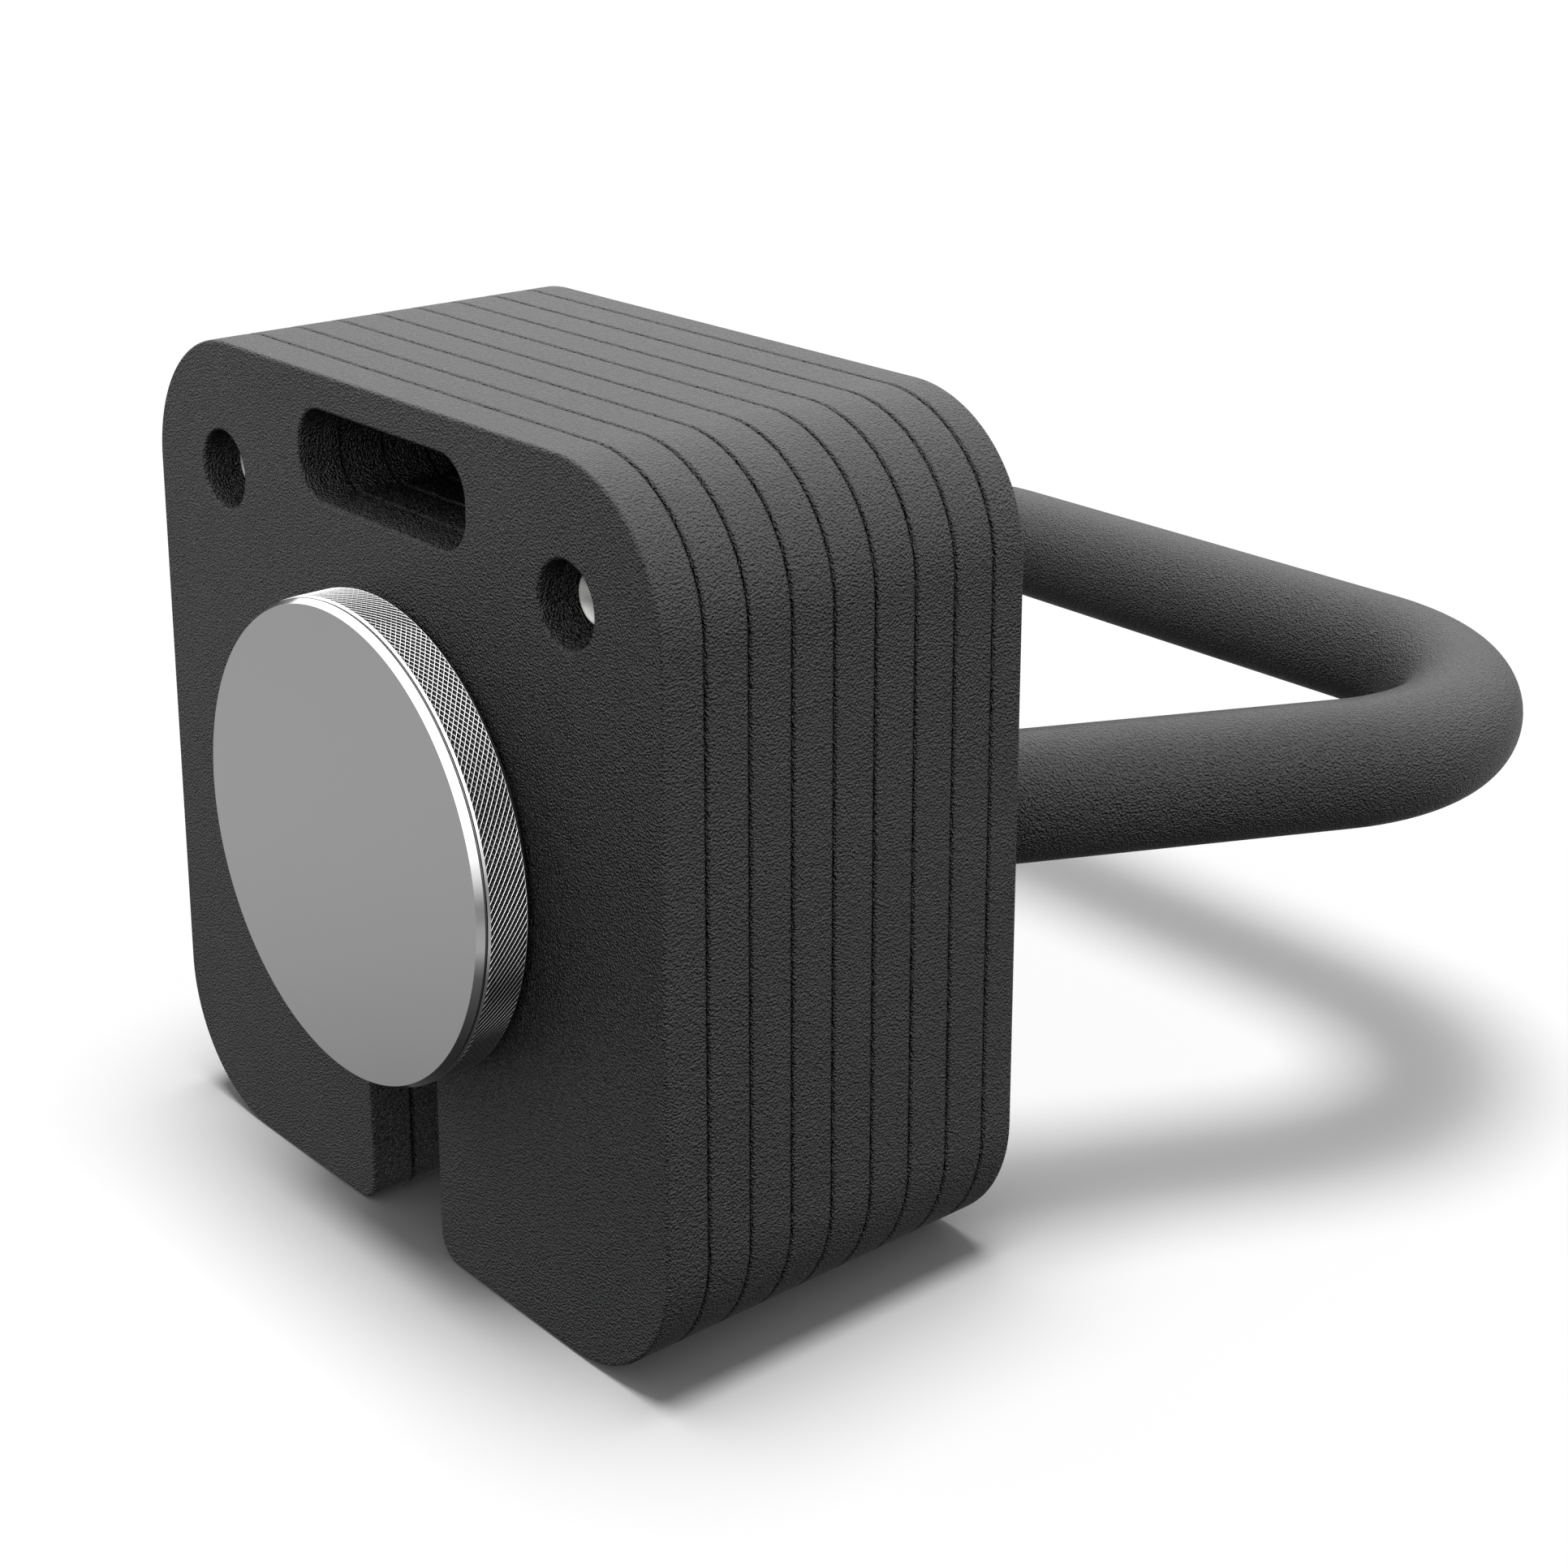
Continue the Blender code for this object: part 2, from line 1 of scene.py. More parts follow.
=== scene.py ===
"""Looks of the adjustable kettlebell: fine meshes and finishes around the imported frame, and a white studio.

Units are metres. X runs across the plates, Y along the clamping screw with the handle at +Y, and Z is up.
"""

import math

import bmesh
import bpy
from mathutils import Matrix, Vector


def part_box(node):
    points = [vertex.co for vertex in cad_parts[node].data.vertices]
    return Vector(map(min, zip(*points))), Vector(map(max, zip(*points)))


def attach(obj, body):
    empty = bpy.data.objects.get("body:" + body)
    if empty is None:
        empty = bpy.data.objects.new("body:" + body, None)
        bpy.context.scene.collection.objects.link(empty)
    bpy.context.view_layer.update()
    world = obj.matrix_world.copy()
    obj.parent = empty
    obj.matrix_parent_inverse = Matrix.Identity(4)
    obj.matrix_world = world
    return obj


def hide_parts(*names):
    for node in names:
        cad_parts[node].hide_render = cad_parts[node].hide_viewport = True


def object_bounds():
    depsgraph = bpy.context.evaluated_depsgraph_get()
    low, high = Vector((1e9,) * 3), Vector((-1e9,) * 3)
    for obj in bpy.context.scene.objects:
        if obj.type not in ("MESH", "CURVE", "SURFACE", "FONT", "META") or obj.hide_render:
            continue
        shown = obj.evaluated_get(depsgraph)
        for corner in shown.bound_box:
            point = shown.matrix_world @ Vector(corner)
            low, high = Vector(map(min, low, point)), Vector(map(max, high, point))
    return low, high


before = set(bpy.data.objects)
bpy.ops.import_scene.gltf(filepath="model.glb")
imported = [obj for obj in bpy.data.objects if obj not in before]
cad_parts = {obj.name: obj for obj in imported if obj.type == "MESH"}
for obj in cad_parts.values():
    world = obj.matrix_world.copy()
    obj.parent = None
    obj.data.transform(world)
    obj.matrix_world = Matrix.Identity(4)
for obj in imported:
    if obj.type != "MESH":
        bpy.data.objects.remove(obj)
CAD_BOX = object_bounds()

# Sizes of the design that the frame's boxes don't give
PLATE_CORNER_RADIUS = 0.031
SLOT_WIDTH = 0.0255
SLOT_FOOT_RADIUS = 0.006
HOLE_RADIUS = 0.0072
HOLE_STEP_RADIUS = 0.0085
HOLE_STEP_DEPTH = 0.0053
WINDOW_SIZE = (0.060, 0.0192)
WINDOW_RADIUS = 0.0082
WINDOW_BELOW_TOP = 0.0174
PLATE_EDGE_RADIUS = 0.0007
LEG_FOOT_X = 0.0603
LEG_CORNER_X = 0.135
BEND_RADIUS = 0.0462
WELD_WIDTH = 0.0046
WELD_HEIGHT = 0.0056
SCREW_RADIUS = 0.012
SCREW_PITCH = 0.003
SCREW_SHANK_RADIUS = 0.004
SCREW_SHANK_PITCH = 0.00125
BOLT_SHANK_RADIUS = 0.005
BOLT_SHANK_PITCH = 0.0015
BOLT_HEAD_HEIGHT = 0.0028
PIN_NOSE_RADIUS = 0.0052
PIN_NOSE_LENGTH = 0.0012
PIN_DISH_DEPTH = 0.0010
PIN_SOCKET_ACROSS = 0.0050
PIN_SOCKET_DEPTH = 0.0035
PIN_SOCKET_POINT = 0.0007
PIN_SOCKET_CHAMFER = 0.0004
PIN_SOCKET_RIM = 0.0034
PIN_HEAD_ROUNDING = 0.00025
PIN_HEAD_LAND = 0.0006
BOLT_SOCKET_ACROSS = 0.0057
BOLT_SOCKET_DEPTH = 0.0019
BOLT_SOCKET_POINT = 0.0002
BOLT_SOCKET_CHAMFER = 0.0003
BOLT_SOCKET_RIM = 0.0038
BOLT_HEAD_ROUNDING = 0.0005
NUT_FACE_SHARE = 0.97
NUT_CHAMFER_SLOPE = 30
NUT_COUNTERSINK = 0.0012
NUT_WELD_SIZE = 0.0034
SPINDLE_PLAIN_LENGTH = 0.004
THREAD_DEPTH_SHARE = 0.6
SMALL_THREAD_CHAMFER = 0.0008
SPINDLE_THREAD_CHAMFER = 0.002
CAP_BEVEL_WIDTH = 0.0009
CAP_BEVEL_DEPTH = 0.0015
GAP = 0.0003

# Ripples round each weld bead, and how far they swell
HANDLE_WELD_RIPPLES = 26
NUT_WELD_RIPPLES = 36
RIPPLE_SWELL = 0.16

# Knurl: diamonds round the knob and across it, how deep their pits are, how much of each is pit,
# and how high its ridges stand over the pits' rims
KNURL_ROUND = 180
KNURL_ACROSS = 7
KNURL_DEPTH = 0.00040
KNURL_PIT = 0.86
KNURL_RIDGE_HEIGHT = 0.00005
KNURL_CHAMFER = 0.0004

# Roundings of turned edges, and how far a cutter runs past the face that it cuts
EDGE_ROUNDING = 0.0003
FINE_ROUNDING = 0.0002
PIN_NOSE_ROUNDING = 0.00012
CAP_FACE_ROUNDING = 0.00008
KNOB_BORE_ROUNDING = 0.0004
SPINDLE_END_CHAMFER = 0.0004
STEP_CUTTER_RISE = 0.0004
STEP_CUTTER_FLARE = 0.0018
SEAT_CUTTER_RISE = 0.002

# Powder coat: the scales of its grain and of its pebbles, and the depth of its bump
COAT_GRAIN_SCALE = 2300.0
COAT_PEBBLE_SCALE = 2000.0
COAT_BUMP_DEPTH = 0.00130

# Edges sharper than this, in degrees, aren't shaded smooth
SHARP_ANGLE = 28

# Segments of a full circle
FINE = 192
ROUND = 96
SMALL = 72

# Steps along the handle: one leg, one bend and the grip
LEG_STEPS = 12
BEND_STEPS = 48
GRIP_STEPS = 16

# Camera: where it stands, where it looks, and its lens
CAMERA_PLACE = (0.4483, -0.3987, 0.3092)
CAMERA_AZIMUTH = 49.58
CAMERA_DIP = 15.25
CAMERA_LENS = 63.1
CAMERA_SENSOR = 36.0
CAMERA_SHIFT_Y = -0.2

# Studio: how bright the surroundings are at each height, from -1 straight down to 1 straight up,
# and how much higher a direction counts towards +X, where the studio is brighter
FILL_LIGHT = ((-1.0, 0.03), (-0.3, 0.12), (0.1, 0.24), (1.0, 0.27))
MIRRORED_STUDIO = (
    (-1.0, 0.03),
    (-0.66, 0.12),
    (-0.57, 0.30),
    (-0.51, 0.50),
    (-0.36, 0.47),
    (-0.28, 0.33),
    (-0.18, 0.33),
    (0.12, 1.45),
    (0.40, 2.60),
    (1.00, 2.90),
)
STUDIO_LEAN = 0.12
SUN_STRENGTH = 2.95
SUN_BREADTH = 30
FLOOR_HALF_WIDTH = 12.0
FLOOR_DROP = 0.0002


def box_centre(node):
    """The middle of a CAD node's box."""
    low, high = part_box(node)
    return (low + high) / 2


def half_width(node):
    """Half of a CAD node's width in X, which is the radius of a round node."""
    low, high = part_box(node)
    return (high.x - low.x) / 2


AXIS_Z = box_centre("knob_cap").z
KNOB_AXIS = (0.0, AXIS_Z)
BASE_BACK_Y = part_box("base_plate")[1].y
PIN_X = box_centre("guide_pin_right").x
PIN_Z = box_centre("guide_pin_right").z


# ---------------------------------------------------------------- materials


def new_material(name, colour, metallic, roughness):
    """A Principled material and handles to its node tree."""
    made = bpy.data.materials.new(name)
    made.use_nodes = True
    shader = made.node_tree.nodes["Principled BSDF"]
    shader.inputs["Base Color"].default_value = (*colour, 1.0)
    shader.inputs["Metallic"].default_value = metallic
    shader.inputs["Roughness"].default_value = roughness
    return made, made.node_tree, shader


def texture(tree, kind, scale, **settings):
    """A procedural texture in the piece's own coordinates."""
    coords = tree.nodes.new("ShaderNodeTexCoord")
    node = tree.nodes.new(kind)
    node.inputs["Scale"].default_value = scale
    for key, value in settings.items():
        if hasattr(node, key):
            setattr(node, key, value)
        else:
            node.inputs[key.capitalize()].default_value = value
    tree.links.new(coords.outputs["Object"], node.inputs["Vector"])
    return node


def output_of(node):
    """A texture's grey output."""
    return node.outputs["Fac"] if "Fac" in node.outputs else node.outputs["Distance"]


def spread(tree, node, low, high):
    """A texture's grey value brought to the range from low to high."""
    change = tree.nodes.new("ShaderNodeMapRange")
    change.inputs["From Min"].default_value = 0.3
    change.inputs["From Max"].default_value = 0.7
    change.inputs["To Min"].default_value = low
    change.inputs["To Max"].default_value = high
    tree.links.new(output_of(node), change.inputs["Value"])
    return change.outputs["Result"]


def blend_heights(tree, first, second, share):
    """Two heights mixed, with this share of the second."""
    mix = tree.nodes.new("ShaderNodeMix")
    mix.data_type = "FLOAT"
    mix.inputs["Factor"].default_value = share
    tree.links.new(first, mix.inputs["A"])
    tree.links.new(second, mix.inputs["B"])
    return mix.outputs["Result"]


def add_bump(tree, shader, height, distance, strength):
    """Bump from a height, with its depth in metres."""
    bump = tree.nodes.new("ShaderNodeBump")
    bump.inputs["Distance"].default_value = distance
    bump.inputs["Strength"].default_value = strength
    tree.links.new(height, bump.inputs["Height"])
    tree.links.new(bump.outputs["Normal"], shader.inputs["Normal"])


def mottle(tree, shader, node, dark, light):
    """Base colour that drifts between two near tones."""
    ramp = tree.nodes.new("ShaderNodeValToRGB")
    ramp.color_ramp.elements[0].position = 0.35
    ramp.color_ramp.elements[0].color = (*dark, 1.0)
    ramp.color_ramp.elements[1].position = 0.65
    ramp.color_ramp.elements[1].color = (*light, 1.0)
    tree.links.new(output_of(node), ramp.inputs["Fac"])
    tree.links.new(ramp.outputs["Color"], shader.inputs["Base Color"])


def powder_coat_material():
    """Black textured powder coat: a fine leathery grain with soft pebbles mixed into it."""
    made, tree, shader = new_material("powder_coat_black", (0.008, 0.008, 0.0083), 0.0, 0.30)
    grain = texture(tree, "ShaderNodeTexNoise", COAT_GRAIN_SCALE, detail=2.0)
    pebbles = texture(
        tree, "ShaderNodeTexVoronoi", COAT_PEBBLE_SCALE, feature="SMOOTH_F1", smoothness=0.6
    )
    drift = texture(tree, "ShaderNodeTexNoise", 70.0, detail=2.0)
    height = blend_heights(tree, output_of(grain), output_of(pebbles), 0.35)
    add_bump(tree, shader, height, COAT_BUMP_DEPTH, 1.0)
    tree.links.new(spread(tree, drift, 0.26, 0.32), shader.inputs["Roughness"])
    mottle(tree, shader, grain, (0.0030, 0.0030, 0.0032), (0.0120, 0.0120, 0.0124))
    return made


def satin_metal_material():
    """The knob's satin face."""
    made, tree, shader = new_material("satin_nickel", (0.64, 0.64, 0.64), 1.0, 0.22)
    cloud = texture(tree, "ShaderNodeTexNoise", 45.0, detail=2.0)
    blast = texture(tree, "ShaderNodeTexNoise", 2600.0, detail=2.0)
    tree.links.new(spread(tree, cloud, 0.20, 0.24), shader.inputs["Roughness"])
    add_bump(tree, shader, output_of(blast), 0.000012, 0.25)
    mottle(tree, shader, cloud, (0.636, 0.636, 0.636), (0.652, 0.652, 0.652))
    return made


def polished_metal_material():
    """The knob's polished bevel and the ridges of its knurl."""
    made, tree, shader = new_material("polished_nickel", (0.68, 0.68, 0.68), 1.0, 0.10)
    smear = texture(tree, "ShaderNodeTexNoise", 220.0, detail=3.0)
    tree.links.new(spread(tree, smear, 0.07, 0.14), shader.inputs["Roughness"])
    mottle(tree, shader, smear, (0.66, 0.66, 0.66), (0.70, 0.70, 0.70))
    return made


def knurl_pit_painted_shade_material():
    """Painted shade for the pits of the knurl: a dull near-black metal that stands in for the shade and dark
    reflections in these recesses.
    """
    made, tree, shader = new_material("pit_nickel_painted_shade", (0.015, 0.015, 0.015), 1.0, 0.34)
    cloud = texture(tree, "ShaderNodeTexNoise", 900.0, detail=2.0)
    tree.links.new(spread(tree, cloud, 0.28, 0.40), shader.inputs["Roughness"])
    mottle(tree, shader, cloud, (0.010, 0.010, 0.010), (0.020, 0.020, 0.020))
    return made


def bright_steel_material():
    """Turned bare steel."""
    made, tree, shader = new_material("turned_steel", (0.60, 0.60, 0.59), 1.0, 0.24)
    smear = texture(tree, "ShaderNodeTexNoise", 500.0, detail=3.0)
    tree.links.new(spread(tree, smear, 0.18, 0.30), shader.inputs["Roughness"])
    add_bump(tree, shader, output_of(smear), 0.00002, 0.3)
    mottle(tree, shader, smear, (0.56, 0.56, 0.55), (0.64, 0.64, 0.63))
    return made


def zinc_steel_material():
    """Zinc-plated fasteners, a little cloudy."""
    made, tree, shader = new_material("zinc_plate", (0.46, 0.46, 0.47), 1.0, 0.36)
    cloud = texture(tree, "ShaderNodeTexNoise", 300.0, detail=4.0)
    tree.links.new(spread(tree, cloud, 0.28, 0.42), shader.inputs["Roughness"])
    add_bump(tree, shader, output_of(cloud), 0.00002, 0.4)
    mottle(tree, shader, cloud, (0.40, 0.40, 0.41), (0.52, 0.52, 0.53))
    return made


def polymer_material():
    """The washer's black slippery polymer."""
    made, tree, shader = new_material("polymer_black", (0.016, 0.016, 0.017), 0.0, 0.42)
    grain = texture(tree, "ShaderNodeTexNoise", 1400.0, detail=2.0)
    tree.links.new(spread(tree, grain, 0.38, 0.48), shader.inputs["Roughness"])
    add_bump(tree, shader, output_of(grain), 0.00003, 0.4)
    mottle(tree, shader, grain, (0.014, 0.014, 0.015), (0.018, 0.018, 0.019))
    return made


POWDER_COAT = powder_coat_material()
SATIN_METAL = satin_metal_material()
POLISHED_METAL = polished_metal_material()
# Near-black metal that paints the shade in the knurl's pits
PIT_PAINTED_SHADE = knurl_pit_painted_shade_material()
BRIGHT_STEEL = bright_steel_material()
ZINC_STEEL = zinc_steel_material()
POLYMER = polymer_material()


# ---------------------------------------------------------------- mesh helpers


def add_piece(name, mesh, body, slot, *materials):
    """Put a finished mesh in the scene: it rides on a body and replaces the node of its name."""
    for finish in materials:
        mesh.materials.append(finish)
    mesh.shade_smooth()
    mesh.set_sharp_from_angle(angle=math.radians(SHARP_ANGLE))
    piece = bpy.data.objects.new(name + "_look", mesh)
    bpy.context.scene.collection.objects.link(piece)
    normals = piece.modifiers.new("even_normals", "WEIGHTED_NORMAL")
    normals.keep_sharp = True
    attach(piece, body)
    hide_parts(name)
    return piece


def closed_mesh(name, edit):
    """The edit mesh as a mesh with merged doubles and faces that point out."""
    bmesh.ops.remove_doubles(edit, verts=edit.verts, dist=1e-7)
    bmesh.ops.recalc_face_normals(edit, faces=edit.faces)
    mesh = bpy.data.meshes.new(name)
    edit.to_mesh(mesh)
    edit.free()
    return mesh


def ring(edit, axis, radius, y, segments):
    """A ring of vertices round a line along Y. Radius and y are numbers or functions of the angle.

    A radius of 0 gives one vertex on the line.
    """
    if radius == 0.0:
        return [edit.verts.new((axis[0], y, axis[1]))]
    verts = []
    for step in range(segments):
        angle = 2 * math.pi * step / segments
        out = radius(angle) if callable(radius) else radius
        along = y(angle) if callable(y) else y
        place = (axis[0] + out * math.cos(angle), along, axis[1] + out * math.sin(angle))
        verts.append(edit.verts.new(place))
    return verts


def bridge(edit, first, second):
    """Faces between two rings, either of which may be a single vertex."""
    count = max(len(first), len(second))
    for step in range(count):
        after = (step + 1) % count
        corners = [
            first[step % len(first)],
            first[after % len(first)],
            second[after % len(second)],
            second[step % len(second)],
        ]
        edit.faces.new(list(dict.fromkeys(corners)))


def skin(edit, rings):
    """Faces along a chain of rings."""
    for first, second in zip(rings, rings[1:]):
        bridge(edit, first, second)


def rounded(corners, steps=4):
    """A profile whose corners (radius, y, rounding) are replaced by arcs."""
    points = []
    for index, (radius, y, rounding) in enumerate(corners):
        here = Vector((radius, y))
        if not rounding:
            points.append((radius, y))
            continue
        before = (Vector(corners[index - 1][:2]) - here).normalized()
        after = (Vector(corners[(index + 1) % len(corners)][:2]) - here).normalized()
        half_angle = before.angle(after) / 2
        middle = here + (before + after).normalized() * rounding / math.sin(half_angle)
        first = here + before * rounding / math.tan(half_angle) - middle
        last = here + after * rounding / math.tan(half_angle) - middle
        for step in range(steps + 1):
            spoke = first.lerp(last, step / steps).normalized() * rounding
            points.append(tuple(middle + spoke))
    return points


def lathe(name, axis, profile, segments, closed=False):
    """A turned mesh from a profile of (radius, y) rows; a closed one is a ring with a hole through it."""
    edit = bmesh.new()
    rings = [ring(edit, axis, radius, y, segments) for radius, y in profile]
    skin(edit, rings)
    if closed:
        bridge(edit, rings[-1], rings[0])
    return closed_mesh(name, edit)


def hexagon(across_flats):
    """The radius of a hexagon at each angle, with corners at 0, 60, 120 degrees and so on."""
    def radius(angle):
        from_flat = angle % math.radians(60) - math.radians(30)
        return across_flats / 2 / math.cos(from_flat)
    return radius


def thread(edit, axis, start_y, end_y, radius, pitch, chamfer, segments):
    """A right-hand thread between two places along Y. Returns its first and last rings.

    Each column of vertices follows the helix, so the crests and roots are clean lines.
    """
    depth = THREAD_DEPTH_SHARE * pitch
    # Crest, flank, root and flank over one pitch, as shares of the pitch and depths there
    profile = ((0.0, 0.0), (0.125, 0.0), (0.4375, depth), (0.6875, depth), (1.0, 0.0))
    length = end_y - start_y

    def depth_at(phase):
        phase %= 1.0
        for (low, low_depth), (high, high_depth) in zip(profile, profile[1:]):
            if phase <= high:
                return low_depth + (high_depth - low_depth) * (phase - low) / (high - low)
        return 0.0

    rows = [lead + turn for turn in range(-2, int(length / pitch) + 3) for lead, _ in profile[:-1]]
    rows_in_pitch = len(profile) - 1
    columns = []
    for column in range(segments):
        shift = column / segments
        angle = -2 * math.pi * shift
        verts = []
        for row in rows:
            along = min(max((row + shift) * pitch, 0.0), length)
            from_end = min(along, length - along)
            out = min(radius - depth_at(along / pitch - shift), radius - chamfer + from_end)
            place = (axis[0] + out * math.cos(angle), start_y + along, axis[1] + out * math.sin(angle))
            verts.append(edit.verts.new(place))
        columns.append(verts)
    for column, verts in enumerate(columns):
        last = column == segments - 1
        following = columns[0][rows_in_pitch:] if last else columns[column + 1]
        for row in range(len(following) - 1):
            edit.faces.new((verts[row], following[row], following[row + 1], verts[row + 1]))
    # The columns run the other way round than a ring, so they are read backwards.
    backwards = [columns[0]] + columns[:0:-1]
    return [verts[0] for verts in backwards], [verts[-1] for verts in backwards]


def arc(middle, radius, start, end, steps):
    """Points along an arc in a flat outline, angles in degrees."""
    points = []
    for step in range(steps + 1):
        angle = math.radians(start + (end - start) * step / steps)
        points.append((middle[0] + radius * math.cos(angle), middle[1] + radius * math.sin(angle)))
    return points


def flat_mesh(name, outlines, front_y, back_y):
    """A plate's mesh between two places along Y, with rounded edges on its outline and on its holes."""
    curve = bpy.data.curves.new(name, "CURVE")
    curve.dimensions = "2D"
    curve.fill_mode = "BOTH"
    curve.extrude = (back_y - front_y) / 2 - PLATE_EDGE_RADIUS
    curve.bevel_depth = PLATE_EDGE_RADIUS
    curve.bevel_resolution = 3
    curve.offset = -PLATE_EDGE_RADIUS
    for outline in outlines:
        spline = curve.splines.new("POLY")
        spline.points.add(len(outline) - 1)
        for point, (x, z) in zip(spline.points, outline):
            point.co = (x, z, 0.0, 1.0)
        spline.use_cyclic_u = True
    holder = bpy.data.objects.new(name, curve)
    bpy.context.scene.collection.objects.link(holder)
    graph = bpy.context.evaluated_depsgraph_get()
    flat = bpy.data.meshes.new_from_object(holder.evaluated_get(graph))
    bpy.data.objects.remove(holder, do_unlink=True)
    edit = bmesh.new()
    edit.from_mesh(flat)
    upright = Matrix.Rotation(math.radians(90), 4, "X")
    edit.transform(Matrix.Translation((0.0, (front_y + back_y) / 2, 0.0)) @ upright)
    bmesh.ops.remove_doubles(edit, verts=edit.verts, dist=1e-6)
    return closed_mesh(name, edit)


def carved(mesh, cutters):
    """The mesh with the cutters' shapes taken out of it."""
    block = bpy.data.objects.new("block", mesh)
    bpy.context.scene.collection.objects.link(block)
    tools = []
    for cutter in cutters:
        tool = bpy.data.objects.new("tool", cutter)
        bpy.context.scene.collection.objects.link(tool)
        cut = block.modifiers.new("cut", "BOOLEAN")
        cut.operation = "DIFFERENCE"
        cut.object = tool
        tools.append(tool)
    graph = bpy.context.evaluated_depsgraph_get()
    result = bpy.data.meshes.new_from_object(block.evaluated_get(graph))
    for spare in [block, *tools]:
        bpy.data.objects.remove(spare, do_unlink=True)
    return result


# ---------------------------------------------------------------- plates and base


def plate_outline(low, high, slotted):
    """The rounded outline of a plate, with the slot up to the screw's axis where it has one."""
    side = high.x - PLATE_CORNER_RADIUS
    foot = low.z + PLATE_CORNER_RADIUS
    top = high.z - PLATE_CORNER_RADIUS
    points = arc((side, foot), PLATE_CORNER_RADIUS, -90, 0, 32)
    points += arc((side, top), PLATE_CORNER_RADIUS, 0, 90, 32)
    points += arc((-side, top), PLATE_CORNER_RADIUS, 90, 180, 32)
    points += arc((-side, foot), PLATE_CORNER_RADIUS, 180, 270, 32)
    if slotted:
        half = SLOT_WIDTH / 2
        toe_x = half + SLOT_FOOT_RADIUS
        toe_z = low.z + SLOT_FOOT_RADIUS
        points += arc((-toe_x, toe_z), SLOT_FOOT_RADIUS, -90, 0, 10)
        points += arc((0.0, AXIS_Z), half, 180, 0, 48)
        points += arc((toe_x, toe_z), SLOT_FOOT_RADIUS, 180, 270, 10)
    return points


def window_outline(top):
    """The finger window's rounded rectangle."""
    middle_z = top - WINDOW_BELOW_TOP
    side = WINDOW_SIZE[0] / 2 - WINDOW_RADIUS
    rise = WINDOW_SIZE[1] / 2 - WINDOW_RADIUS
    points = []
    for quarter, (sign_x, sign_z) in enumerate(((1, 1), (-1, 1), (-1, -1), (1, -1))):
        corner = (sign_x * side, middle_z + sign_z * rise)
        points += arc(corner, WINDOW_RADIUS, 90 * quarter, 90 * quarter + 90, 16)
    return points


def circle(middle, radius, steps=ROUND):
    """A closed circle in a flat outline, half a segment round from a lathe's so that they cross cleanly."""
    start = 180 / steps
    return arc(middle, radius, start, start + 360, steps)[:-1]


def hole_step(side, front_y):
    """A cutter that widens the front of a plate's hole and rounds its rim."""
    rim = HOLE_STEP_RADIUS + PLATE_EDGE_RADIUS
    start_y = front_y - STEP_CUTTER_RISE
    profile = [(0.0, start_y), (rim + STEP_CUTTER_FLARE, start_y)]
    for turn in (10, 30, 50, 70, 90):
        angle = math.radians(turn)
        out = rim - PLATE_EDGE_RADIUS * math.sin(angle)
        along = front_y + PLATE_EDGE_RADIUS * (1 - math.cos(angle))
        profile.append((out, along))
    floor_y = front_y + HOLE_STEP_DEPTH
    profile += [(HOLE_STEP_RADIUS, floor_y), (0.0, floor_y)]
    return lathe("hole_step", (side * PIN_X, PIN_Z), profile, ROUND)


def make_plates():
    """Eight plates, each with its own mesh and stepped holes for the guide pins."""
    for name in [f"plate_{number}" for number in range(1, 9)]:
        low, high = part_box(name)
        outlines = [
            plate_outline(low, high, slotted=True),
            window_outline(high.z),
            circle((-PIN_X, PIN_Z), HOLE_RADIUS),
            circle((PIN_X, PIN_Z), HOLE_RADIUS),
        ]
        steps = [hole_step(side, low.y) for side in (-1, 1)]
        mesh = carved(flat_mesh(name, outlines, low.y, high.y), steps)
        add_piece(name, mesh, name, "powder_coat", POWDER_COAT)


def make_base_plate():
    """The unslotted plate behind the stack, bored for the screw and countersunk for the pin screws."""
    low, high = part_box("base_plate")
    shank = SCREW_SHANK_RADIUS + GAP
    seat_end = 0.9 * shank
    outlines = [
        plate_outline(low, high, slotted=False),
        circle((0.0, AXIS_Z), SCREW_RADIUS + GAP),
        circle((-PIN_X, PIN_Z), shank, SMALL),
        circle((PIN_X, PIN_Z), shank, SMALL),
    ]
    mesh = flat_mesh("base_plate", outlines, low.y, high.y)
    head = half_width("pin_screw_left") + GAP
    seat_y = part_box("pin_screw_left")[1].y
    seats = []
    for side in (-1, 1):
        profile = [
            (0.0, high.y + SEAT_CUTTER_RISE),
            (head, high.y + SEAT_CUTTER_RISE),
            (head, seat_y),
            (seat_end, seat_y - (head - seat_end)),
            (0.0, seat_y - (head - seat_end)),
        ]
        seats.append(lathe("seat", (side * PIN_X, PIN_Z), profile, SMALL))
    add_piece("base_plate", carved(mesh, seats), "frame", "powder_coat", POWDER_COAT)


# ---------------------------------------------------------------- handle and welds


def leg_direction():
    """Unit vector along the right leg, from its foot to the grip."""
    reach = grip_line_y() - BASE_BACK_Y
    return Vector((LEG_CORNER_X - LEG_FOOT_X, reach, 0.0)).normalized()


def bar_radius():
    """The handle bar's radius, from its height."""
    low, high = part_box("handle")
    return (high.z - low.z) / 2


def grip_line_y():
    """Where the grip's centre line is along Y."""
    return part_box("handle")[1].y - bar_radius()


